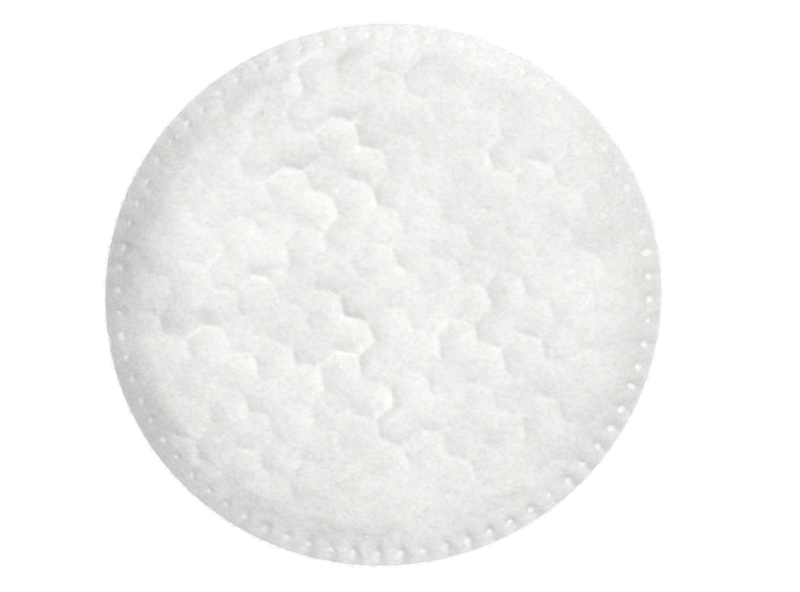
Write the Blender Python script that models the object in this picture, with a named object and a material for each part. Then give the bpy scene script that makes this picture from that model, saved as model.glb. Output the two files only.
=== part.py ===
"""A round cotton pad: one pressed web of cotton fibre, die-cut to a slightly drawn-out round.

Its upper face is embossed with three-lobed pillows between soft grooves, and its rim is
crimped by a ring of points. The underside is flat, so the pad lies on its back.

Axes: X and Y run across the pad, Z is up. The origin is the middle of the flat underside.
All lengths are in metres.
"""

import math

import bmesh
import bpy
from mathutils import Matrix, Vector
from mathutils.geometry import delaunay_2d_cdt

# Outline. The soft web draws out a little along the machine, so the cut round is slightly long.
PAD_LENGTH = 0.0570
PAD_WIDTH = 0.0553
LENGTH_DIRECTION = math.radians(11.3)

# Thickness, from the flat underside up. The cut edge is thinnest at the ends of the long way.
CROWN_HEIGHT = 0.0038
DOME_RISE = 0.0002
EDGE_TOP = 0.0014
EDGE_SWING = 0.0006
EDGE_UNDERSIDE = 0.0002

# Fall of the upper face to the cut edge: a long shoulder, and a steeper roll at its foot.
SHOULDER_RUN = 0.0090
ROLL_RUN = 0.0036
ROLL_CURVE = 1.7
ROLL_SHARE = 0.45
UNDERSIDE_RUN = 0.0044

# Embossing: pillows of three merged hexagons each, like ones TILE_PITCH apart.
TILE_PITCH = 0.00685
PATTERN_TURN = math.radians(-13.9)
PATTERN_CENTER = Vector((-0.00053, 0.00109))
WEB_DRAW = 1.035
WEB_DRAW_DIRECTION = math.radians(18.4)
GROOVE_DEPTH = 0.00038
PILLOW_REACH = 0.0021
PILLOW_ROUNDNESS = 2.0
PRESS_CENTER = Vector((-0.005, 0.002))
PRESS_REACH = 0.034
PRESS_LEAST = 0.3
PATTERN_START = 0.0010
PATTERN_FULL = 0.0036

# Rim: a ring of crimped points, pressed from both faces, with a crease running out of each.
CRIMP_COUNT = 72
CRIMP_INSET = 0.00123
CRIMP_RING_CENTER = Vector((0.00007, 0.00004))
CRIMP_THICKNESS = 0.0004
CRIMP_LEVEL = 0.00075
CRIMP_RADIUS = 0.0008
CRIMP_PRESS = 0.28
TROUGH_WIDTH = 0.0009
TROUGH_PRESS = 0.1
CREASE_WIDTH = 0.00055
CREASE_INWARD = 0.0020
CREASE_OUTWARD = 0.0040
CREASE_PRESS = 0.12

# Fineness of the mesh: lines of points beside each groove, and the gap kept to the rim's rings.
FLANK_LINE = 0.00045
CREST_LINE = 0.0011
RING_CLEARANCE = 0.0006

# Rings of points through the rim, as shares of the crimps' inset.
RING_BEFORE = 0.5
RING_BEHIND = 1.5
LAST_UPPER_RING = 2.2
LAST_LOWER_RING = 1.8

COTTON_COLOR = (0.86, 0.85, 0.83, 1.0)


def clear_scene():
    for thing in list(bpy.data.objects):
        bpy.data.objects.remove(thing)


def cotton_material():
    material = bpy.data.materials.new("cotton")
    material.use_nodes = True
    shader = material.node_tree.nodes["Principled BSDF"]
    shader.inputs["Base Color"].default_value = COTTON_COLOR
    shader.inputs["Roughness"].default_value = 0.95
    shader.inputs["Metallic"].default_value = 0.0
    return material


def clamp(value):
    return min(max(value, 0.0), 1.0)


def smooth_step(value):
    share = clamp(value)
    return share * share * (3.0 - 2.0 * share)


# The outline, and places measured from it


def oval_point(center, inset, angle):
    """Point of the outline moved inward by an inset, at an angle from the pad's long way."""
    along = (PAD_LENGTH / 2 - inset) * math.cos(angle)
    across = (PAD_WIDTH / 2 - inset) * math.sin(angle)
    return center + Matrix.Rotation(LENGTH_DIRECTION, 2) @ Vector((along, across))


def oval_place(point, center, inset):
    """How far a point lies inside an oval, and its angle from the pad's long way."""
    offset = Matrix.Rotation(-LENGTH_DIRECTION, 2) @ (point - center)
    along = offset.x / (PAD_LENGTH / 2 - inset)
    across = offset.y / (PAD_WIDTH / 2 - inset)
    share = math.hypot(along, across)
    if share < 1e-6:
        return PAD_WIDTH / 2, 0.0
    return offset.length * (1.0 / share - 1.0), math.atan2(across, along)


def ring_points(center, inset, count):
    """Evenly placed points of one oval ring; the first crimp lies half a pitch from the long way."""
    first = math.pi / CRIMP_COUNT
    turns = [first + math.tau * step / count for step in range(count)]
    return [oval_point(center, inset, turn) for turn in turns]


# The embossed pattern


def pattern_to_pad(place):
    """Lay a place of the regular pattern on the pad: turned, then drawn out with the web."""
    along = Matrix.Rotation(WEB_DRAW_DIRECTION, 2)
    draw = along @ Matrix.Diagonal((WEB_DRAW, 1.0 / WEB_DRAW)) @ along.transposed()
    return PATTERN_CENTER + draw @ Matrix.Rotation(PATTERN_TURN, 2) @ place


def direction(degrees):
    turn = math.radians(degrees)
    return Vector((math.cos(turn), math.sin(turn)))


def tile_centers():
    """Middles of all pillows that can reach the pad, in the regular pattern."""
    reach = math.ceil(PAD_LENGTH / TILE_PITCH)
    steps = range(-reach, reach + 1)
    places = [TILE_PITCH * (i * direction(0) + j * direction(60)) for i in steps for j in steps]
    limit = PAD_LENGTH / 2 + TILE_PITCH
    return [place for place in places if pattern_to_pad(place).length < limit]


def tile_outline(center):
    """Corners of one pillow: three hexagons that share the corner in its middle."""
    side = TILE_PITCH / 3
    corners = []
    for lobe in (0, 120, 240):
        steps = (
            direction(lobe) + direction(lobe - 60),
            direction(lobe) * 2,
            direction(lobe) + direction(lobe + 60),
            direction(lobe + 60),
        )
        corners += [pattern_to_pad(center + side * step) for step in steps]
    return corners


def with_midpoints(loop):
    points = []
    for start, end in zip(loop, loop[1:] + loop[:1]):
        points += [start, (start + end) / 2]
    return points


def inset_loop(loop, distance):
    """Move each point of a counter-clockwise loop inward, square to the sides that meet there."""
    moved = []
    for before, point, after in zip(loop[-1:] + loop[:-1], loop, loop[1:] + loop[:1]):
        first = (point - before).normalized().orthogonal()
        second = (after - point).normalized().orthogonal()
        moved.append(point + (first + second) * distance / (1.0 + first.dot(second)))
    return moved


def tile_points(center):
    """Points that carry one pillow's form: its groove, its flank, its crest and its lobes."""
    outline = tile_outline(center)
    lobes = [pattern_to_pad(center + TILE_PITCH / 3 * direction(turn)) for turn in (0, 120, 240)]
    groove = with_midpoints(outline)
    flank = inset_loop(groove, FLANK_LINE)
    crest = inset_loop(outline, CREST_LINE)
    return groove + flank + crest + lobes + [pattern_to_pad(center)]


def groove_lines():
    """Every groove of the pattern, as pairs of end points, grouped by pillow."""
    lines = []
    for center in tile_centers():
        loop = tile_outline(center)
        lines.append((pattern_to_pad(center), list(zip(loop, loop[1:] + loop[:1]))))
    return lines


def line_distance(point, start, end):
    span = end - start
    share = clamp((point - start).dot(span) / span.length_squared)
    return (point - start - span * share).length


def groove_distance(point, lines):
    """Distance from a point to the nearest groove, among the pillows round it."""
    near = [sides for middle, sides in lines if (middle - point).length < TILE_PITCH]
    return min(line_distance(point, start, end) for sides in near for start, end in sides)


def groove_press(point, lines):
    """Depth of the embossing at a point: full in a groove, none on top of a pillow."""
    inside, turn = oval_place(point, Vector((0, 0)), 0.0)
    fade = smooth_step((inside - PATTERN_START) / (PATTERN_FULL - PATTERN_START))
    strength = 1.0 - ((point - PRESS_CENTER).length / PRESS_REACH) ** 2
    share = clamp(groove_distance(point, lines) / PILLOW_REACH)
    return GROOVE_DEPTH * fade * max(strength, PRESS_LEAST) * (1.0 - share) ** PILLOW_ROUNDNESS


# The crimped rim


def swell(distance, width):
    """A smooth hump: 1 at no distance, 0 from the width on."""
    return max(1.0 - (distance / width) ** 2, 0.0) ** 2


def crimp_press(point):
    """Share, from 0 to 1, by which the crimping holds both faces together at a point."""
    inside, turn = oval_place(point, CRIMP_RING_CENTER, CRIMP_INSET)
    pitch = math.tau / CRIMP_COUNT
    beside = (turn % pitch - pitch / 2) * (point - CRIMP_RING_CENTER).length
    dot = CRIMP_PRESS * swell(math.hypot(inside, beside), CRIMP_RADIUS)
    trough = TROUGH_PRESS * swell(inside, TROUGH_WIDTH)
    reach = CREASE_INWARD if inside > 0 else CREASE_OUTWARD
    crease = CREASE_PRESS * swell(inside, reach) * swell(beside, CREASE_WIDTH)
    return 1.0 - (1.0 - dot) * (1.0 - trough) * (1.0 - crease)


# The two faces of the pad


def free_top(point):
    """Height of the upper face before embossing and crimping."""
    inside, turn = oval_place(point, Vector((0, 0)), 0.0)
    edge = EDGE_TOP - EDGE_SWING * math.cos(2.0 * turn)
    roll = ROLL_SHARE * (1.0 - clamp(inside / ROLL_RUN)) ** ROLL_CURVE
    shoulder = (1.0 - ROLL_SHARE) * (1.0 - clamp(inside / SHOULDER_RUN)) ** 2
    dome = DOME_RISE * (2 * point.length / PAD_LENGTH) ** 2
    return CROWN_HEIGHT - (CROWN_HEIGHT - edge) * (roll + shoulder) - dome


def free_underside(point):
    """Height of the underside before crimping: flat, and lifting to the cut edge."""
    inside, turn = oval_place(point, Vector((0, 0)), 0.0)
    return EDGE_UNDERSIDE * clamp(1.0 - inside / UNDERSIDE_RUN) ** 2


def top_height(point, lines):
    free = free_top(point) - groove_press(point, lines)
    pressed = CRIMP_LEVEL + CRIMP_THICKNESS / 2
    return free + (pressed - free) * crimp_press(point)


def underside_height(point):
    free = free_underside(point)
    pressed = CRIMP_LEVEL - CRIMP_THICKNESS / 2
    return free + (pressed - free) * crimp_press(point)


# The mesh


def rim_rings():
    """Rings of points through the crimped rim of either face, from the cut edge inward."""
    edge = ring_points(Vector((0, 0)), 0.0, 4 * CRIMP_COUNT)
    crimps = ring_points(CRIMP_RING_CENTER, CRIMP_INSET, 4 * CRIMP_COUNT)
    return edge + crimps


def upper_rings():
    before = ring_points(CRIMP_RING_CENTER, CRIMP_INSET * RING_BEFORE, 4 * CRIMP_COUNT)
    behind = ring_points(CRIMP_RING_CENTER, CRIMP_INSET * RING_BEHIND, 4 * CRIMP_COUNT)
    last = ring_points(CRIMP_RING_CENTER, CRIMP_INSET * LAST_UPPER_RING, 2 * CRIMP_COUNT)
    return rim_rings() + before + behind + last


def lower_rings():
    """Rings of the underside: the flat disc begins at the last full one."""
    last_inset = CRIMP_INSET * LAST_LOWER_RING
    behind = ring_points(CRIMP_RING_CENTER, last_inset, 2 * CRIMP_COUNT)
    middle = ring_points(Vector((0, 0)), (last_inset + UNDERSIDE_RUN) / 2, CRIMP_COUNT)
    flat = ring_points(Vector((0, 0)), UNDERSIDE_RUN, CRIMP_COUNT)
    inner = ring_points(Vector((0, 0)), PAD_WIDTH / 4, CRIMP_COUNT // 3)
    return rim_rings() + behind + middle + flat + inner + [Vector((0, 0))]


def pattern_points(inset):
    """Points of all pillows that lie further in than an inset, each one once."""
    kept = {}
    for center in tile_centers():
        for point in tile_points(center):
            if oval_place(point, CRIMP_RING_CENTER, inset)[0] > RING_CLEARANCE:
                kept[(round(point.x, 6), round(point.y, 6))] = point
    return list(kept.values())


def add_face(solid, points, height, upward):
    """Triangulate points in plan, and lift each to its height on one face of the pad."""
    plan, edges, triangles = delaunay_2d_cdt(points, [], [], 0, 1e-7)[:3]
    corners = [solid.verts.new((place.x, place.y, height(place))) for place in plan]
    for triangle in triangles:
        order = triangle if upward else reversed(triangle)
        solid.faces.new([corners[index] for index in order])


def add_cut_edge(solid):
    """Join the rims of the two faces by the wall that the cutting die leaves."""
    rims = [edge for edge in solid.edges if edge.is_boundary]
    for edge in rims:
        edge.smooth = False
    bmesh.ops.bridge_loops(solid, edges=rims)
    bmesh.ops.triangulate(solid, faces=solid.faces)


def build_pad():
    lines = groove_lines()
    upper = upper_rings() + pattern_points(CRIMP_INSET * LAST_UPPER_RING)
    solid = bmesh.new()
    add_face(solid, upper, lambda point: top_height(point, lines), True)
    add_face(solid, lower_rings(), underside_height, False)
    add_cut_edge(solid)
    bmesh.ops.recalc_face_normals(solid, faces=solid.faces)
    mesh = bpy.data.meshes.new("cotton_pad")
    solid.to_mesh(mesh)
    solid.free()
    mesh.shade_smooth()
    mesh.materials.append(cotton_material())
    pad = bpy.data.objects.new("cotton_pad", mesh)
    bpy.context.scene.collection.objects.link(pad)
    return pad


clear_scene()
build_pad()
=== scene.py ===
"""Looks of a round cotton pad, lying on its back on a white table and seen from above.

Lengths are in metres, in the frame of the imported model: Z is up, and the table is at 0.
"""

import math

import bpy
import numpy as np
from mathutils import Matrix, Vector, noise
from mathutils.geometry import delaunay_2d_cdt


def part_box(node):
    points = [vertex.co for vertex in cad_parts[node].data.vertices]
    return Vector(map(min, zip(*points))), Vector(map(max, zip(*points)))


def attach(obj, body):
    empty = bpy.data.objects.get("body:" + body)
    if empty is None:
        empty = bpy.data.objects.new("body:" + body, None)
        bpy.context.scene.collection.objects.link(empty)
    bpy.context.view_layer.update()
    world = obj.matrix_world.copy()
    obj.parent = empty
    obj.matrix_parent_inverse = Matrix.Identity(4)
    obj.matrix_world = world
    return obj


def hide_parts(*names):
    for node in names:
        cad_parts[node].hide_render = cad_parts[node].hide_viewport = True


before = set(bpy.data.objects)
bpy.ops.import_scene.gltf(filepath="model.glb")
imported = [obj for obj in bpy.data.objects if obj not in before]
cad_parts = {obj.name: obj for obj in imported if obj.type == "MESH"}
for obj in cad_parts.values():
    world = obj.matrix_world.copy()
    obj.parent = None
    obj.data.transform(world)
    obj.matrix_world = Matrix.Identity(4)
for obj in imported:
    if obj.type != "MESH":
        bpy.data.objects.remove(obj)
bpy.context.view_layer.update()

# The pad
# One web of bleached cotton fibre, pressed between an engraved and a plain roller, then
# die-cut and crimped round the rim in one stroke. Nothing holds it but its own fibres.

LENGTH_DIRECTION = math.radians(11.3)
CRIMP_COUNT = 72
SMALLEST_SHARE = 1e-6

high_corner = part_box("cotton_pad")[1]
crown_height = high_corner.z
chance = np.random.default_rng(seed=72)


def half_axes():
    """Half the pad's long and short way, from the box of the turned oval."""
    across_x = high_corner.x ** 2
    across_y = high_corner.y ** 2
    difference = (across_x - across_y) / math.cos(2 * LENGTH_DIRECTION)
    total = across_x + across_y
    return np.array([math.sqrt((total + difference) / 2), math.sqrt((total - difference) / 2)])


pad_half = half_axes()


def turned(places, turn):
    """Turn places in the plane, counter-clockwise."""
    spin = np.array([[math.cos(turn), -math.sin(turn)], [math.sin(turn), math.cos(turn)]])
    return places @ spin.T


def round_circle(turns):
    """Places on a circle of radius 1."""
    return np.stack([np.cos(turns), np.sin(turns)], axis=1)


def oval_ring(inset, count):
    """Places round the outline, moved inward by an inset; a crimp lies half a pitch from the start."""
    turns = math.pi / CRIMP_COUNT + math.tau * np.arange(count) / count
    return turned(round_circle(turns) * (pad_half - inset), LENGTH_DIRECTION)


def oval_place(places, inset=0.0, center=(0.0, 0.0)):
    """How far places lie inside an oval, and their angle from its long way."""
    offset = turned(places - np.array(center), -LENGTH_DIRECTION)
    scaled = offset / (pad_half - inset)
    share = np.maximum(np.linalg.norm(scaled, axis=1), SMALLEST_SHARE)
    inside = np.linalg.norm(offset, axis=1) * (1 / share - 1)
    return inside, np.arctan2(scaled[:, 1], scaled[:, 0])


def clamp(value):
    return np.clip(value, 0.0, 1.0)


def smooth_step(value):
    """A rise from 0 to 1 that starts and ends gently."""
    return clamp(value) ** 2 * (3 - 2 * clamp(value))


def swell(distance, width):
    """A smooth hump: 1 at no distance, 0 from the width on."""
    return np.maximum(1 - (distance / width) ** 2, 0) ** 2


def way(degrees):
    """A step of length 1 in a direction."""
    return np.array([math.cos(math.radians(degrees)), math.sin(math.radians(degrees))])


# The web before it is embossed: a faint dome that falls to the rim in a long shoulder and a
# steeper roll. Its cut edge is thinnest at both ends of the pad's long way.
DOME_RISE = 0.0002
SHOULDER_RUN = 0.0090
ROLL_RUN = 0.0040
ROLL_SHARE = 0.50
ROLL_CURVE = 1.3
EDGE_TOP = 0.0014
EDGE_SWING = 0.0006


def free_top(places):
    """Height of the upper face before embossing and crimping."""
    inside, turn = oval_place(places)
    edge = EDGE_TOP - EDGE_SWING * np.cos(2 * turn)
    roll = ROLL_SHARE * (1 - clamp(inside / ROLL_RUN)) ** ROLL_CURVE
    shoulder = (1 - ROLL_SHARE) * (1 - clamp(inside / SHOULDER_RUN)) ** 2
    dome = DOME_RISE * (np.linalg.norm(places, axis=1) / pad_half[0]) ** 2
    return crown_height - (crown_height - edge) * (roll + shoulder) - dome


# The web is drawn out a little one way, its pattern less than its own unevenness.
WEB_DRAW_DIRECTION = math.radians(18.4)
PATTERN_DRAW = 1.035
UNEVEN_DRAW = 1.5


def unevenness(places, size, seed):
    """Smooth noise, mostly from -0.5 to 0.5, with swellings of a size, drawn out along the web."""
    along = turned(places, -WEB_DRAW_DIRECTION) / (size * UNEVEN_DRAW, size)
    return np.array([noise.noise(Vector((x, y, seed))) for x, y in along])


# The engraved pattern: like pillows side by side, each made of three hexagons.
PILLOW_PITCH = 0.00685
PATTERN_TURN = math.radians(-13.9)
PATTERN_CENTER = np.array([-0.00053, 0.00109])
PATTERN_START = 0.0010
PATTERN_FULL = 0.0034
MICROMETRES = 1e6


def pattern_to_pad(places):
    """Lay places of the regular pattern on the pad: turned, then drawn out with the web."""
    along = turned(turned(places, PATTERN_TURN), -WEB_DRAW_DIRECTION)
    return turned(along * (PATTERN_DRAW, 1 / PATTERN_DRAW), WEB_DRAW_DIRECTION) + PATTERN_CENTER


def pillow_outline():
    """The twelve corners of a pillow, as steps from its middle in sides of a hexagon."""
    corners = []
    for lobe in (0, 120, 240):
        out = way(lobe)
        corners += [out + way(lobe - 60), out * 2, out + way(lobe + 60), way(lobe + 60)]
    return np.array(corners)


def pillow_grooves():
    """Both ends of each groove. One that two pillows share has the same middle in both, and is kept once."""
    reach = math.ceil(2 * pad_half[0] / PILLOW_PITCH)
    outline = PILLOW_PITCH / 3 * pillow_outline()
    grooves = {}
    for i in range(-reach, reach + 1):
        for j in range(-reach, reach + 1):
            center = PILLOW_PITCH * (i * way(0) + j * way(60))
            if np.linalg.norm(center) > pad_half[0] + PILLOW_PITCH:
                continue
            corners = pattern_to_pad(center + outline)
            for start, end in zip(corners, np.roll(corners, -1, axis=0)):
                grooves[tuple(np.round((start + end) * MICROMETRES).astype(int))] = (start, end)
    return list(grooves.values())


def groove_distance(places):
    """Distance from places to the nearest groove."""
    nearest = np.full(len(places), np.inf)
    for start, end in pillow_grooves():
        span = end - start
        offset = places - start
        share = clamp(offset @ span / (span @ span))
        nearest = np.minimum(nearest, np.hypot(*(offset - share[:, None] * span).T))
    return nearest


# Where the engraving bit deeper or less than elsewhere: the place, the reach each way, the added share.
PRESS_GROUND = 0.40
PRESS_AREAS = (
    ((-0.0026, 0.0085), (0.0055, 0.0150), 0.90),
    ((-0.0070, 0.0035), (0.0070, 0.0050), 0.45),
    ((-0.0135, -0.0072), (0.0160, 0.0080), 0.72),
    ((0.0065, -0.0095), (0.0085, 0.0070), 0.45),
    ((0.0125, 0.0015), (0.0070, 0.0060), 0.25),
    ((0.0170, 0.0125), (0.0095, 0.0095), 0.30),
    ((0.0080, 0.0080), (0.0050, 0.0050), -0.25),
    ((-0.0060, 0.0240), (0.0070, 0.0050), 0.55),
    ((-0.0250, 0.0060), (0.0060, 0.0090), -0.38),
    ((0.0010, -0.0235), (0.0130, 0.0050), -0.40),
)

# Its chance patches: their size and seed, how much they change, and the least and most that is left.
PRESS_PATCHES = (0.0036, 3.5)
PRESS_SWING = 1.5
PRESS_RANGE = (0.3, 1.8)


def press_strength(places):
    """How hard the engraving bit, over the pad."""
    strength = np.full(len(places), PRESS_GROUND)
    for center, reach, share in PRESS_AREAS:
        offset = (places - np.array(center)) / np.array(reach)
        strength += share * np.exp(-(offset ** 2).sum(axis=1))
    return strength * np.clip(1 + PRESS_SWING * unevenness(places, *PRESS_PATCHES), *PRESS_RANGE)


# How the grooves wander: the size of the bends, how far they reach, and a seed each way.
GROOVE_WANDER = (
    (0.0026, 0.00032, (40.5, 45.5)),
    (0.0008, 0.00010, (50.5, 55.5)),
)


def groove_wander(places):
    """How far the soft web has shifted since it was embossed."""
    shift = np.zeros((len(places), 2))
    for size, reach, seeds in GROOVE_WANDER:
        for axis, seed in enumerate(seeds):
            shift[:, axis] += reach * unevenness(places, size, seed)
    return shift


# A groove: pillows roll down to it from afar, a narrow line runs along it, and its bottom is
# sharper or softer in patches, of a size and seed.
GROOVE_DEPTH = 0.00039
PILLOW_REACH = 0.0021
GROOVE_LINE_DEPTH = 0.00004
GROOVE_LINE_WIDTH = 0.00050
GROOVE_BOTTOM = 0.00006
GROOVE_SOFTNESS = 1.2
SOFT_CONTRAST = 1.6
SOFT_PATCHES = (0.0030, 23.5)


def groove_press(places):
    """Depth of the embossing: full in a groove, none on top of a pillow."""
    fade = smooth_step((oval_place(places)[0] - PATTERN_START) / (PATTERN_FULL - PATTERN_START))
    soft = clamp(0.5 + SOFT_CONTRAST * unevenness(places, *SOFT_PATCHES))
    bottom = GROOVE_BOTTOM * (1 + GROOVE_SOFTNESS * soft)
    away = np.hypot(groove_distance(places - groove_wander(places)), bottom) - bottom
    pillow = GROOVE_DEPTH * np.maximum(1 - away / PILLOW_REACH, 0) ** 2
    return fade * press_strength(places) * (pillow + GROOVE_LINE_DEPTH * swell(away, GROOVE_LINE_WIDTH))


# The ring of crimps, the form of each, and how far one may lie off its place.
CRIMP_INSET = np.array([0.00133, 0.00113])
CRIMP_RING_CENTER = np.array([0.00007, 0.00004])
CRIMP_SHIFT = 0.00006
PIT_RADIUS = 0.00075
VALLEY_WIDTH = 0.00105
VALLEY_SPREAD = 0.15
VALLEY_RUN = 0.0018
VALLEY_START = 0.72 * VALLEY_RUN
CREASE_WIDTH = 0.00050

# The least and most of what differs from crimp to crimp.
PIT_DEPTHS = (0.00003, 0.00011)
POINT_WHITES_AND_HIGHLIGHT = (0.65, 1.0)
POINT_SIZES = (0.75, 1.3)
VALLEY_DEPTHS = (0.00008, 0.00026)
CREASE_DEPTHS = (0.0, 0.00012)
CREASE_REACHES = (0.0010, 0.0030)
PIT_LEAST_SHARE = 0.3
PIT_BITE_SHARE = 0.6

# How hard the crimping bit round the rim, and how white its points are, partly packed cotton and partly
# a painted highlight, whitest along the lower rim: direction in degrees, share.
CRIMP_BITE = (
    (0, 0.9),
    (40, 0.35),
    (70, 0.5),
    (95, 1.0),
    (120, 0.6),
    (190, 0.5),
    (225, 0.8),
    (265, 1.4),
    (320, 1.2),
    (360, 0.9),
)
CRIMP_WHITE_AND_HIGHLIGHT = (
    (0, 0.85),
    (45, 0.60),
    (90, 0.45),
    (150, 0.4),
    (180, 0.5),
    (215, 1.1),
    (270, 1.1),
    (320, 1.1),
    (360, 0.85),
)


def round_the_rim(table):
    """Each crimp's share of a table that goes round the rim."""
    turns = (360 * (np.arange(CRIMP_COUNT) + 0.5) / CRIMP_COUNT + math.degrees(LENGTH_DIRECTION)) % 360
    return np.interp(turns, *np.array(table).T)


# Each crimp's own bite: how deep its pit, valley and crease are, and how white and large its point is; the
# white is partly a painted highlight.
crimp_bite = round_the_rim(CRIMP_BITE)
pit_depth = chance.uniform(*PIT_DEPTHS, CRIMP_COUNT) * (PIT_LEAST_SHARE + PIT_BITE_SHARE * crimp_bite)
point_white_and_highlight = chance.uniform(*POINT_WHITES_AND_HIGHLIGHT, CRIMP_COUNT) * round_the_rim(CRIMP_WHITE_AND_HIGHLIGHT)
point_size = chance.uniform(*POINT_SIZES, CRIMP_COUNT)
valley_depth = chance.uniform(*VALLEY_DEPTHS, CRIMP_COUNT) * crimp_bite
crease_depth = chance.uniform(*CREASE_DEPTHS, CRIMP_COUNT) * crimp_bite
crease_reach = chance.uniform(*CREASE_REACHES, CRIMP_COUNT)
crimp_shift = chance.normal(0, CRIMP_SHIFT, (CRIMP_COUNT, 2))


def crimp_place(places):
    """The nearest crimp, and how far in from it and beside it places lie."""
    inside, turn = oval_place(places, CRIMP_INSET, CRIMP_RING_CENTER)
    pitch = math.tau / CRIMP_COUNT
    crimp = np.floor(turn / pitch).astype(int) % CRIMP_COUNT
    beside = (turn % pitch - pitch / 2) * np.linalg.norm(places - CRIMP_RING_CENTER, axis=1)
    return crimp, inside + crimp_shift[crimp, 0], beside + crimp_shift[crimp, 1]


def crimp_dent(places):
    """Depth of the crimping: a pit at each point, a valley from it to the cut edge, a crease inward."""
    crimp, inside, beside = crimp_place(places)
    pit = pit_depth[crimp] * swell(np.hypot(inside, beside), PIT_RADIUS)
    spread = VALLEY_WIDTH + VALLEY_SPREAD * np.maximum(-inside, 0)
    valley = valley_depth[crimp] * swell(beside, spread) * smooth_step((VALLEY_START - inside) / VALLEY_RUN)
    crease = crease_depth[crimp] * swell(np.maximum(inside, 0), crease_reach[crimp])
    return pit + valley + crease * swell(beside, CREASE_WIDTH)


# The web's own unevenness: the size of its swellings, how high they stand, and a seed. They are
# lower near the rim, where the web is pressed firm.
WEB_LUMPS = (
    (0.0090, 0.00128, 11.5),
    (0.0045, 0.00052, 15.5),
    (0.0022, 0.00009, 19.5),
    (0.0011, 0.00004, 23.5),
    (0.0006, 0.00003, 27.5),
)
RIM_LUMPS_SHARE = 0.25
RIM_LUMPS_RUN = 0.0050


def dented_top(places):
    """Height of the upper face with its pillows, lumps and dents."""
    height = free_top(places) - groove_press(places) - crimp_dent(places)
    lumpy = RIM_LUMPS_SHARE + (1 - RIM_LUMPS_SHARE) * smooth_step(oval_place(places)[0] / RIM_LUMPS_RUN)
    for size, rise, seed in WEB_LUMPS:
        height += lumpy * rise * unevenness(places, size, seed)
    return height


def crimp_middles():
    """Places of the crimps' points."""
    turns = math.tau * (np.arange(CRIMP_COUNT) + 0.5) / CRIMP_COUNT
    return turned(round_circle(turns) * (pad_half - CRIMP_INSET), LENGTH_DIRECTION) + CRIMP_RING_CENTER


# Each point is pressed nearly flat at one level, out to a radius.
POINT_FLAT = 0.00040
POINT_FLAT_FADE = 0.00028
POINT_FLATNESS = 0.45
point_level = dented_top(crimp_middles())


def top_height(places):
    """Height of the finished upper face: each crimp's point is pressed flat."""
    crimp, inside, beside = crimp_place(places)
    flat = POINT_FLATNESS * smooth_step((POINT_FLAT - np.hypot(inside, beside)) / POINT_FLAT_FADE)
    height = dented_top(places)
    return height + (point_level[crimp] - height) * flat


# The plain underside: flat on the table, a little lifted at the rim, with the crimps' marks.
EDGE_UNDERSIDE = 0.0002
UNDERSIDE_RUN = 0.0044
UNDERSIDE_DENT_SHARE = 0.5


def underside_height(places):
    """Height of the plain face that the pad lies on."""
    lift = EDGE_UNDERSIDE * (1 - clamp(oval_place(places)[0] / UNDERSIDE_RUN)) ** 2
    return lift + UNDERSIDE_DENT_SHARE * crimp_dent(places)


# How densely the fibres are packed: in the crimped points, along the rim, where it is more near
# the thicker parts of the cut edge, and in the cut itself. The points also carry a painted highlight,
# and the cut carries painted light.
POINT_RADIUS = 0.00040
POINT_FADE = 0.00022
POINT_FRAY = 0.00022
FRAY_PATCHES = (0.0005, 91.5)
RIM_PACKING = 0.27
RIM_PACKING_SWING = 0.24
RIM_PACKING_WAY = math.radians(68)
RIM_PACKED_RUN = 0.0034
RIM_PACKED_PATCHES = (0.0030, 77.5)
RIM_PACKED_RANGE = (0.5, 1.5)
# Painted light: the outermost cut is whitened so that the edge rolling down into shade looks as light as the
# face.
CUT_PAINTED_LIGHT = 0.2
CUT_PAINTED_LIGHT_RUN = 0.0004


def packing_and_painted_light(places):
    """How densely the fibres are packed, most in the crimped points and less along the rim, with a painted
    highlight on each point and painted light along the cut.
    """
    crimp, inside, beside = crimp_place(places)
    off = np.hypot(inside, beside) / point_size[crimp] + POINT_FRAY * unevenness(places, *FRAY_PATCHES)
    point = point_white_and_highlight[crimp] * smooth_step((POINT_RADIUS - off) / POINT_FADE)
    rim, turn = oval_place(places)
    most = RIM_PACKING + RIM_PACKING_SWING * np.cos(2 * (turn - RIM_PACKING_WAY))
    cut = CUT_PAINTED_LIGHT * smooth_step(1 - rim / CUT_PAINTED_LIGHT_RUN)
    run = RIM_PACKED_RUN * np.clip(1 + unevenness(places, *RIM_PACKED_PATCHES), *RIM_PACKED_RANGE)
    return 1 - (1 - point) * (1 - most * smooth_step(1 - inside / run)) * (1 - cut)


# How the web thins as its top falls to the rim and lets light through, with painted shade of the falling
# rim added, in two parts: the share, the fall at which it starts as a share of the pad's height, and the
# fall over which it runs. It is uneven in patches.
THIN_AND_SHADE_FALLS = (
    (0.72, 0.0, 0.20),
    (0.28, 0.15, 0.35),
)
THIN_SWING = 0.06
THIN_PATCHES = (0.0050, 83.5)

# Painted shade and light long before the rim: darker toward the left, lower left, bottom and lower
# right, lighter toward the upper right and upper left: direction and reach to both sides in degrees,
# share, how far in it starts, and how far in it is full.
PAINTED_SHADE_AND_LIGHT_BY_WAY = (
    (240, 42, 0.65, 0.0160, 0.0),
    (220, 26, 0.55, 0.0110, 0.0060),
    (180, 22, 0.15, 0.0110, 0.0),
    (270, 25, 0.30, 0.0160, 0.0),
    (315, 35, 0.55, 0.0200, 0.0),
    (45, 25, -0.35, 0.0160, 0.0),
    (135, 25, -0.50, 0.0160, 0.0),
)

# A band of painted shade near the rim, on the left, the side turned from the side light: direction and
# reach to both sides in degrees, share, how far in it lies, and its width to both sides.
PAINTED_SHADE_WAY = 176
PAINTED_SHADE_REACH = 36
PAINTED_SHADE_SHARE = 0.65
PAINTED_SHADE_INSET = 0.0019
PAINTED_SHADE_WIDTH = 0.0020


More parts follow.
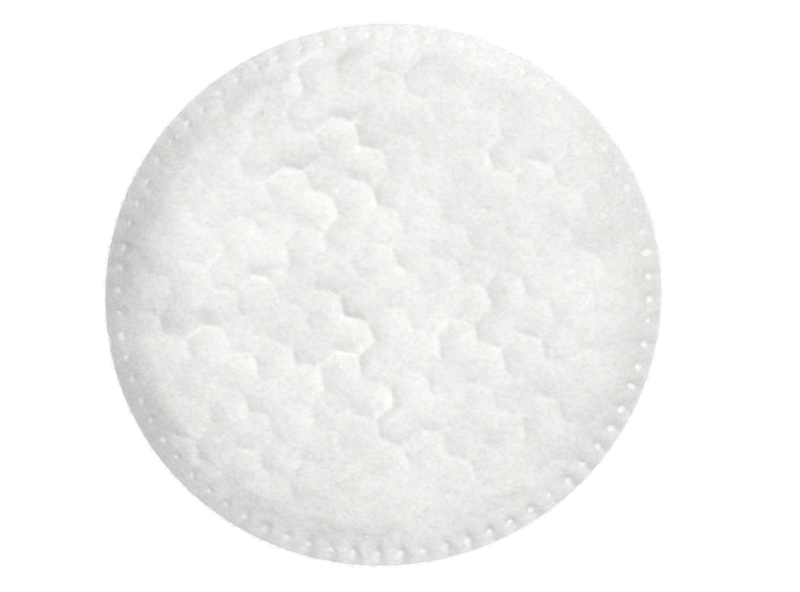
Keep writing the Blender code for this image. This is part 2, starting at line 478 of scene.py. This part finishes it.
def toward(turn, direction, reach):
    """A smooth share: 1 in a direction from the pad's middle, fading to both sides."""
    off = (turn + LENGTH_DIRECTION - math.radians(direction) + math.pi) % math.tau - math.pi
    return np.exp(-(off / math.radians(reach)) ** 2)


def thinning_and_painted_shade(places):
    """How much greyer the cotton is painted: partly a thin web that lets light through, most at the cut
    edge, partly painted shade, and painted light in places.
    """
    inside, turn = oval_place(places)
    fall = 1 - free_top(places) / crown_height + THIN_SWING * unevenness(places, *THIN_PATCHES)
    solid_and_unshaded = np.ones(len(places))
    for share, start, run in THIN_AND_SHADE_FALLS:
        solid_and_unshaded -= share * smooth_step((fall - start) / run)
    for direction, reach, share, start, full in PAINTED_SHADE_AND_LIGHT_BY_WAY:
        early = smooth_step((start - inside) / (start - full))
        solid_and_unshaded *= 1 - share * early * toward(turn, direction, reach)
    band = swell(inside - PAINTED_SHADE_INSET, PAINTED_SHADE_WIDTH)
    return 1 - solid_and_unshaded + PAINTED_SHADE_SHARE * band * toward(turn, PAINTED_SHADE_WAY, PAINTED_SHADE_REACH)


# The mesh of the upper face: fine rings along the rim, and a lattice that keeps to the pattern,
# laid out wider than the pad and then cut to its outline.
RIM_POINTS = 16 * CRIMP_COUNT
RIM_RING_STEP = 0.00014
RIM_RINGS = 20
LATTICE_STEPS = 11
LATTICE_SPARE = 1.3

# The cut edge: how sharply it is rounded, how steep the upper face meets it, and the turns in
# degrees at which its rings lie. Each rounding has its share of the height, the upper at most.
EDGE_ROUND = 0.00003
EDGE_SLOPE = 40
UPPER_ROUND_TURNS = (54, 68, 80, 90)
UPPER_ROUND_MOST = 0.5
LOWER_ROUND_TURNS = (75, 40)
LOWER_ROUND_SHARE = 0.3

# The mesh of the underside: fine rings round the crimps, coarser ones inside them, and coarse
# rings on the flat disc, with so many points for each metre that is left to the middle.
LOWER_FINE_STEP = 2 * RIM_RING_STEP
LOWER_FINE_RINGS = 8
LOWER_COARSE_INSETS = (0.0030, 0.0037, 0.0044)
DISC_INSET = 0.0054
DISC_STEP = 0.0012
DISC_POINTS = 5200
DISC_FEWEST_POINTS = 6

# How the triangles in plan are found: over the whole outline, with places this close made one.
WHOLE_OUTLINE = 0
SAME_PLACE = 1e-7


def lattice_places(inset):
    """A fine triangular lattice that runs along the grooves, kept an inset away from the outline."""
    step = PILLOW_PITCH / 3 / LATTICE_STEPS
    reach = math.ceil(LATTICE_SPARE * pad_half[0] / step)
    rows = np.arange(-reach, reach + 1)
    i, j = np.meshgrid(rows, rows)
    places = pattern_to_pad(step * (i.ravel()[:, None] * way(0) + j.ravel()[:, None] * way(60)))
    return places[oval_place(places)[0] > inset]


def in_plan(places):
    """Triangles between places in plan, numbered as the places are given."""
    found = delaunay_2d_cdt([Vector(place) for place in places], [], [], WHOLE_OUTLINE, SAME_PLACE, True)
    number = [origin[0] for origin in found[3]]
    return [[number[corner] for corner in triangle] for triangle in found[2]]


def lifted(places, heights):
    """Places in plan, raised to their heights."""
    return np.column_stack([places, heights])


def upper_places():
    """The upper face in plan: its outermost ring first, then the rim's rings and the lattice."""
    insets = [EDGE_ROUND + RIM_RING_STEP * ring for ring in range(RIM_RINGS)]
    rings = [oval_ring(inset, RIM_POINTS) for inset in insets]
    return np.concatenate(rings + [lattice_places(insets[-1] + RIM_RING_STEP)])


def lower_places():
    """The underside in plan: its outermost ring first, and coarser on the flat disc."""
    rings = [oval_ring(EDGE_ROUND, RIM_POINTS)]
    for ring in range(1, LOWER_FINE_RINGS + 1):
        rings.append(oval_ring(EDGE_ROUND + LOWER_FINE_STEP * ring, RIM_POINTS // 2))
    rings += [oval_ring(inset, RIM_POINTS // 4) for inset in LOWER_COARSE_INSETS]
    inset = DISC_INSET
    while inset < pad_half[1]:
        rings.append(oval_ring(inset, max(DISC_FEWEST_POINTS, round(DISC_POINTS * (pad_half[1] - inset)))))
        inset += DISC_STEP
    return np.concatenate(rings)


def wall_rings(top, bottom):
    """Rings down the cut edge: the sloping upper face rolls over into it, and the underside too."""
    thick = top - bottom
    slope = way(EDGE_SLOPE)
    fall = np.minimum(EDGE_ROUND * slope[0] / (1 - slope[1]), thick * UPPER_ROUND_MOST)
    rings = []
    for turn in UPPER_ROUND_TURNS:
        x, y = way(turn)
        out = (y - slope[1]) / (1 - slope[1])
        down = (slope[0] - x) / slope[0]
        rings.append(lifted(oval_ring(EDGE_ROUND * (1 - out), RIM_POINTS), top - fall * down))
    for turn in LOWER_ROUND_TURNS:
        x, y = way(turn)
        level = bottom + thick * LOWER_ROUND_SHARE * (1 - x)
        rings.append(lifted(oval_ring(EDGE_ROUND * (1 - y), RIM_POINTS), level))
    return rings


def pad_mesh():
    """One closed skin: the upper face, the cut edge and the underside."""
    upper = upper_places()
    lower = lower_places()
    upper_points = lifted(upper, top_height(upper))
    lower_points = lifted(lower, underside_height(lower))
    walls = wall_rings(upper_points[:RIM_POINTS, 2], lower_points[:RIM_POINTS, 2])
    first_lower = len(upper)
    first_wall = first_lower + len(lower)
    faces = in_plan(upper)
    faces += [[first_lower + corner for corner in reversed(triangle)] for triangle in in_plan(lower)]
    starts = [0] + [first_wall + RIM_POINTS * ring for ring in range(len(walls))] + [first_lower]
    for above, below in zip(starts, starts[1:]):
        for step in range(RIM_POINTS):
            after = (step + 1) % RIM_POINTS
            faces.append([above + step, below + step, below + after, above + after])
    points = np.concatenate([upper_points, lower_points] + walls)
    mesh = bpy.data.meshes.new("pad_web")
    mesh.from_pydata(points.tolist(), [], faces)
    mesh.shade_smooth()
    plan = points[:, :2]
    # The cotton's colour masks: packing, with painted highlights on the points and painted light at the cut,
    # and thinness, with painted shade.
    for name, values in (("packed_and_lit", packing_and_painted_light(plan)), ("thin_and_shade", thinning_and_painted_shade(plan))):
        layer = mesh.attributes.new(name, "FLOAT", "POINT")
        layer.data.foreach_set("value", values.astype(np.float32))
    return mesh


class Strand:
    """A socket of a material's nodes; arithmetic on it adds the nodes that work it out."""

    def __init__(self, tree, socket):
        self.tree = tree
        self.socket = socket

    def node(self, kind, settings, inputs, output=0):
        """Add a node: its settings first, then the values or links of its sockets."""
        made = self.tree.nodes.new(kind)
        for name, value in settings.items():
            setattr(made, name, value)
        for name, value in inputs.items():
            if isinstance(value, Strand):
                self.tree.links.new(value.socket, made.inputs[name])
            else:
                made.inputs[name].default_value = value
        return Strand(self.tree, made.outputs[output])

    def math(self, operation, first, second=0.0):
        return self.node("ShaderNodeMath", {"operation": operation}, {0: first, 1: second})

    def __add__(self, other):
        return self.math("ADD", self, other)

    __radd__ = __add__

    def __sub__(self, other):
        return self.math("SUBTRACT", self, other)

    def __rsub__(self, other):
        return self.math("SUBTRACT", other, self)

    def __mul__(self, other):
        return self.math("MULTIPLY", self, other)

    __rmul__ = __mul__

    def __abs__(self):
        return self.math("ABSOLUTE", self)

    def feed(self, shader, name):
        self.tree.links.new(self.socket, shader.inputs[name])


# The cotton's whiteness: loose fibre lets light through and looks greyer, packed fibre is white.
# Painted shade near the rim pulls it toward the grey, painted light on the crimped points and the cut
# toward the white.
COTTON_LOOSE = (0.628, 0.623, 0.609, 1.0)
COTTON_DENSE = (0.988, 0.983, 0.967, 1.0)
COTTON_ROUGHNESS = 0.9
COTTON_SHEEN = 0.1

# Three lays of fine fibres that cross each other: their turns in degrees, how much longer than
# wide the fibres look, and how far the lays are moved so that none repeats another.
FIBRE_WAYS = (-20, 6, 30)
FIBRE_DRAW = (6.0, 1.0, 1.0)
FIBRE_LAY_SHIFT = 0.1
FIBRE_GRAIN = {"Scale": 5200.0, "Detail": 1.0, "Distortion": 0.4}
FIBRE_LAY_SHARE = 0.33

# Coarser grains: small clumps, tufts and broad patches, and small white knots a few millimetres apart.
CLUMP_GRAIN = {"Scale": 2300.0, "Detail": 2.0}
TUFT_GRAIN = {"Scale": 900.0, "Detail": 1.0}
PATCH_GRAIN = {"Scale": 120.0, "Detail": 2.0}
KNOTS_A_METRE = 420.0
KNOT_EDGE = {"From Min": 0.035, "From Max": 0.055, "To Min": 0.7, "To Max": 0.0}

# How much each one whitens or darkens the cotton, and lifts its surface.
FIBRE_WHITE = 0.64
CLUMP_WHITE = 0.50
TUFT_WHITE = 0.24
PATCH_WHITE = 0.24
GRAIN_DARK = 0.388
THIN_FIBRE_WHITE = 0.40
# The next two also paint shade and light: the darkening of a thin web carries painted shade near the rim,
# and the whitening of packed fibre carries painted highlights on the crimped points and painted light at the
# cut.
THIN_AND_SHADE_DARK = 0.57
PACKED_AND_LIT_WHITE = 0.70
FIBRE_LIFT = 0.25
CLUMP_LIFT = 0.75
GRAIN_HEIGHT = 0.000055


def cotton_finish():
    """Bleached cotton: matt, slightly warm white, with crossing fibres and soft clumps.

    Light through a thin web and painted shade make the rim less white; painted highlights make its packed
    points whiter.
    """
    material = bpy.data.materials.new("pressed_cotton")
    material.use_nodes = True
    tree = material.node_tree
    shader = tree.nodes["Principled BSDF"]
    place = Strand(tree, tree.nodes.new("ShaderNodeTexCoord").outputs["Object"])
    fibres = 0.0
    for layer, turn in enumerate(FIBRE_WAYS):
        shift = (FIBRE_LAY_SHIFT * layer, 0.0, 0.0)
        spin = (0.0, 0.0, math.radians(turn))
        lay = {"Vector": place, "Location": shift, "Rotation": spin, "Scale": FIBRE_DRAW}
        drawn = place.node("ShaderNodeMapping", {"vector_type": "TEXTURE"}, lay)
        wave = drawn.node("ShaderNodeTexNoise", {}, {"Vector": drawn, **FIBRE_GRAIN})
        fibres = (1 - abs(wave * 2 - 1)) * FIBRE_LAY_SHARE + fibres
    clumps = place.node("ShaderNodeTexNoise", {}, {"Vector": place, **CLUMP_GRAIN})
    tufts = place.node("ShaderNodeTexNoise", {}, {"Vector": place, **TUFT_GRAIN})
    patches = place.node("ShaderNodeTexNoise", {}, {"Vector": place, **PATCH_GRAIN})
    packed_and_lit = place.node("ShaderNodeAttribute", {"attribute_name": "packed_and_lit"}, {}, "Fac")
    thin_and_shade = place.node("ShaderNodeAttribute", {"attribute_name": "thin_and_shade"}, {}, "Fac")
    cells = place.node("ShaderNodeTexVoronoi", {}, {"Vector": place, "Scale": KNOTS_A_METRE}, "Distance")
    knots = place.node("ShaderNodeMapRange", {}, {"Value": cells, **KNOT_EDGE})
    grain = fibres * FIBRE_WHITE + clumps * CLUMP_WHITE + tufts * TUFT_WHITE
    grain = grain + patches * PATCH_WHITE - GRAIN_DARK
    dense_and_lit = packed_and_lit.math("MAXIMUM", packed_and_lit, knots)
    # Painted shade darkens the rim here, and painted light whitens the crimped points and the cut.
    shade = grain + thin_and_shade * (fibres * THIN_FIBRE_WHITE - THIN_AND_SHADE_DARK) + dense_and_lit * PACKED_AND_LIT_WHITE
    whiteness = {"Factor": shade, "A": COTTON_LOOSE, "B": COTTON_DENSE}
    color = place.node("ShaderNodeMix", {"data_type": "RGBA"}, whiteness, "Result")
    color.feed(shader, "Base Color")
    raised = fibres * FIBRE_LIFT + clumps * CLUMP_LIFT + tufts
    bump = {"Height": raised, "Strength": 1.0, "Distance": GRAIN_HEIGHT}
    place.node("ShaderNodeBump", {}, bump).feed(shader, "Normal")
    shader.inputs["Roughness"].default_value = COTTON_ROUGHNESS
    shader.inputs["Sheen Weight"].default_value = COTTON_SHEEN
    return material


def put_in_scene(name, data):
    """An object for a mesh, a lamp or a camera, put in the scene."""
    made = bpy.data.objects.new(name, data)
    bpy.context.scene.collection.objects.link(made)
    return made


pad = put_in_scene("pad_web", pad_mesh())
pad.data.materials.append(cotton_finish())
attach(pad, "root")
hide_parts("cotton_pad")

# The loose fibres
# Single cotton fibres that the web has half let go of, each a fine bent hair. They stand out
# of the cut edge and lie on the upper face, held by the web they are tangled in.

FIBRE_RADIUS = 0.000009
FIBRE_TIP_SHARE = 0.4
TUBE_CORNERS = (90, 210, 330)
SHORTEST_STEP = 1e-9

# Those in the cut edge: how many, how deep they root, at what share of its height, how far they
# reach, how much they lean and rise, and the shares of their length at which they bend.
EDGE_FIBRES = 2800
EDGE_FIBRE_ROOT = 0.0002
EDGE_FIBRE_LEVELS = (0.15, 0.95)
EDGE_FIBRE_LEAST = 0.0002
EDGE_FIBRE_REACH = 0.00036
EDGE_FIBRE_REACHES = (0.1, 1.0)
EDGE_FIBRE_LEAN = 0.7
EDGE_FIBRE_RISE = 0.5
EDGE_FIBRE_BENDS = (0, 0.4, 0.75, 1)
LOWEST_FIBRE = 0.00003

# Those on the upper face: how many, how far out they lie as shares of the outline, length, steps.
FACE_FIBRES = (180, (0.0, 0.96), 0.0036, 10)
RIM_FIBRES = (1500, (0.93, 0.99), 0.0011, 4)
FACE_FIBRE_LENGTHS = (0.3, 1.0)
FACE_FIBRE_ASTRAY = 0.7
FACE_FIBRE_CURL = 0.16
FACE_FIBRE_KINK = 0.12
FACE_FIBRE_ARCH = 0.00002


def edge_fibre_lines():
    """Points along the short fibres that stand out of the cut edge."""
    around = round_circle(chance.uniform(0, math.tau, EDGE_FIBRES))
    outward = around / pad_half
    outward = turned(outward / np.linalg.norm(outward, axis=1)[:, None], LENGTH_DIRECTION)
    sideways = turned(outward, math.pi / 2)
    start = turned(around * (pad_half - EDGE_FIBRE_ROOT), LENGTH_DIRECTION)
    low = underside_height(start)
    level = low + (top_height(start) - low) * chance.uniform(*EDGE_FIBRE_LEVELS, EDGE_FIBRES)
    reach = EDGE_FIBRE_LEAST + EDGE_FIBRE_REACH * chance.uniform(*EDGE_FIBRE_REACHES, EDGE_FIBRES) ** 2
    lean = chance.normal(0, EDGE_FIBRE_LEAN, EDGE_FIBRES)
    rise = chance.normal(0, EDGE_FIBRE_RISE, EDGE_FIBRES)
    lines = []
    for share in EDGE_FIBRE_BENDS:
        plan = start + outward * (reach * share)[:, None] + sideways * (reach * lean * share ** 2)[:, None]
        lines.append(lifted(plan, np.maximum(level + reach * rise * share ** 2, LOWEST_FIBRE)))
    return np.stack(lines, axis=1)


def face_fibre_lines(count, shares, length, steps):
    """Points along fibres that lie on the upper face, and rise a little from it."""
    nearest, furthest = shares
    around = round_circle(chance.uniform(0, math.tau, count))
    share = np.sqrt(chance.uniform(nearest ** 2, furthest ** 2, count))[:, None]
    plan = turned(around * share * pad_half, LENGTH_DIRECTION)
    heading = WEB_DRAW_DIRECTION + chance.normal(0, FACE_FIBRE_ASTRAY, count)
    curl = chance.normal(0, FACE_FIBRE_CURL, count)
    step = length / steps * chance.uniform(*FACE_FIBRE_LENGTHS, count)
    lines = []
    for part in range(steps + 1):
        arch = FACE_FIBRE_ARCH * math.sin(math.pi * part / steps)
        lines.append(lifted(plan, top_height(plan) + arch))
        plan = plan + round_circle(heading) * step[:, None]
        heading = heading + curl + chance.normal(0, FACE_FIBRE_KINK, count)
        out = np.linalg.norm(turned(plan, -LENGTH_DIRECTION) / pad_half, axis=1)
        plan = plan * np.minimum(1, furthest / out)[:, None]
    return np.stack(lines, axis=1)


def with_length_one(steps):
    """The same steps, each made 1 long."""
    return steps / np.maximum(np.linalg.norm(steps, axis=2), SHORTEST_STEP)[:, :, None]


def fibre_tubes(lines):
    """Three-sided tubes along the lines, with their ends drawn in and closed."""
    count, steps = lines.shape[:2]
    along = with_length_one(np.gradient(lines, axis=1))
    beside = with_length_one(np.cross(along, (0.0, 0.0, 1.0)))
    above = np.cross(beside, along)
    thick = np.full(steps, FIBRE_RADIUS)
    thick[[0, -1]] *= FIBRE_TIP_SHARE
    corners = [beside * way(turn)[0] + above * way(turn)[1] for turn in TUBE_CORNERS]
    points = np.stack([lines + corner * thick[None, :, None] for corner in corners], axis=2)
    faces = []
    for first in range(0, count * steps * 3, steps * 3):
        for ring in range(first, first + (steps - 1) * 3, 3):
            faces += [[ring, ring + 1, ring + 4, ring + 3], [ring + 1, ring + 2, ring + 5, ring + 4]]
            faces.append([ring + 2, ring, ring + 3, ring + 5])
        last = first + (steps - 1) * 3
        faces += [[first + 2, first + 1, first], [last, last + 1, last + 2]]
    return points.reshape(-1, 3).tolist(), faces


# A fibre's two whites, how fast it changes along its length, and its roughness, least and added.
FIBRE_DULL = (0.80, 0.795, 0.78, 1.0)
FIBRE_BRIGHT = (0.95, 0.946, 0.935, 1.0)
FIBRE_CHANGE = {"Scale": 1500.0, "Detail": 2.0}
FIBRE_ROUGHNESS = 0.4
FIBRE_ROUGHNESS_SWING = 0.3


def fibre_finish():
    """The same bleached cotton as one hair: white, with a slight gloss that changes along it."""
    material = bpy.data.materials.new("cotton_fibre")
    material.use_nodes = True
    tree = material.node_tree
    shader = tree.nodes["Principled BSDF"]
    place = Strand(tree, tree.nodes.new("ShaderNodeTexCoord").outputs["Object"])
    change = place.node("ShaderNodeTexNoise", {}, {"Vector": place, **FIBRE_CHANGE})
    whiteness = {"Factor": change, "A": FIBRE_DULL, "B": FIBRE_BRIGHT}
    color = place.node("ShaderNodeMix", {"data_type": "RGBA"}, whiteness, "Result")
    color.feed(shader, "Base Color")
    (FIBRE_ROUGHNESS + change * FIBRE_ROUGHNESS_SWING).feed(shader, "Roughness")
    return material


def fibre_piece(name, lines):
    """One piece of many loose fibres, in the cotton that the web has."""
    points, faces = fibre_tubes(lines)
    mesh = bpy.data.meshes.new(name)
    mesh.from_pydata(points, [], faces)
    mesh.shade_smooth()
    mesh.materials.append(cotton_fibre)
    piece = put_in_scene(name, mesh)
    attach(piece, "root")


cotton_fibre = fibre_finish()
fibre_piece("edge_fibres", edge_fibre_lines())
fibre_piece("face_fibres", face_fibre_lines(*FACE_FIBRES))
fibre_piece("rim_fibres", face_fibre_lines(*RIM_FIBRES))

# The table
# A plain white sheet under the pad, so bright in the picture that only a trace of shadow shows.
# It is a hair lower than the pad's underside, and can be seen through from below.

TABLE_HALF = 2.0
TABLE_GAP = 0.00002
TABLE_COLOR = (0.25, 0.25, 0.25, 1.0)
TABLE_GLOW = 1.09
TABLE_GLOW_SHARE = 0.90


def table_mesh():
    """One square face."""
    corners = [(x * TABLE_HALF, y * TABLE_HALF, -TABLE_GAP) for x, y in ((-1, -1), (1, -1), (1, 1), (-1, 1))]
    mesh = bpy.data.meshes.new("table")
    mesh.from_pydata(corners, [], [(0, 1, 2, 3)])
    return mesh


def seen_ray(tree):
    """1 for a ray that shows the thing in the picture, itself or in a gloss."""
    path = tree.nodes.new("ShaderNodeLightPath")
    straight = Strand(tree, path.outputs["Is Camera Ray"])
    glossy = Strand(tree, path.outputs["Is Glossy Ray"])
    through = Strand(tree, path.outputs["Is Transmission Ray"])
    return straight.math("MAXIMUM", straight, glossy.math("MAXIMUM", glossy, through))


def table_finish():
    """White where it is seen, with a little of the pad's shadow, and clear from below."""
    material = bpy.data.materials.new("white_sheet")
    material.use_nodes = True
    tree = material.node_tree
    tree.nodes.clear()
    seen = seen_ray(tree)
    back = Strand(tree, tree.nodes.new("ShaderNodeNewGeometry").outputs["Backfacing"])
    matt = seen.node("ShaderNodeBsdfDiffuse", {}, {"Color": TABLE_COLOR})
    glow = seen.node("ShaderNodeEmission", {}, {"Color": (1.0, 1.0, 1.0, 1.0), "Strength": TABLE_GLOW})
    clear = seen.node("ShaderNodeBsdfTransparent", {}, {})
    sheet = seen.node("ShaderNodeMixShader", {}, {0: seen * TABLE_GLOW_SHARE, 1: matt, 2: glow})
    shown = seen.node("ShaderNodeMixShader", {}, {0: back, 1: sheet, 2: clear})
    shown.feed(tree.nodes.new("ShaderNodeOutputMaterial"), "Surface")
    return material


table = put_in_scene("table", table_mesh())
table.data.materials.append(table_finish())
table.visible_shadow = False

# The light
# A broad soft light from straight above, a smaller one from the upper right, and a white room.
# A lamp under the table, which is clear from below, lights nothing but the pad's underside.

ROOM_LIGHT = 0.12
world = bpy.data.worlds.new("white_room")
world.use_nodes = True
bpy.context.scene.world = world
room = world.node_tree
room.nodes.clear()
room_seen = seen_ray(room)
room_shown = {"Color": (1.0, 1.0, 1.0, 1.0), "Strength": room_seen * (1 - ROOM_LIGHT) + ROOM_LIGHT}
room_walls = room_seen.node("ShaderNodeBackground", {}, room_shown)
room_walls.feed(room.nodes.new("ShaderNodeOutputWorld"), "Surface")


def soft_sun(name, azimuth, elevation, share, spread):
    """A distant light that gives a flat white sheet a share of full brightness."""
    lamp = bpy.data.lights.new(name, "SUN")
    lamp.energy = share * math.pi / abs(math.sin(math.radians(elevation)))
    lamp.angle = math.radians(spread)
    across = way(azimuth) * math.cos(math.radians(elevation))
    source = Vector((*across, math.sin(math.radians(elevation))))
    put_in_scene(name, lamp).rotation_euler = source.to_track_quat("Z", "Y").to_euler()


soft_sun("overhead_light", azimuth=0, elevation=90, share=0.62, spread=60)
soft_sun("side_light", azimuth=38, elevation=45, share=0.26, spread=25)
soft_sun("lower_light", azimuth=38, elevation=-70, share=0.8, spread=60)

# The camera
# Straight above the pad, far off with a long lens, as the photograph shows it. It stands a
# little beside the pad's middle, and the picture's width is the one at the pad's lower half.

CAMERA_DISTANCE = 0.8
CAMERA_PLACE = (0.00172, -0.00012)
PICTURE_LEVEL = 0.001
PICTURE_WIDTH = 0.08195
SENSOR_WIDTH = 36.0
camera_data = bpy.data.cameras.new("camera")
camera_data.sensor_width = SENSOR_WIDTH
camera_data.lens = SENSOR_WIDTH * CAMERA_DISTANCE / PICTURE_WIDTH
camera = put_in_scene("camera", camera_data)
camera.location = (*CAMERA_PLACE, PICTURE_LEVEL + CAMERA_DISTANCE)
bpy.context.scene.camera = camera
bpy.context.scene.view_settings.view_transform = "Standard"
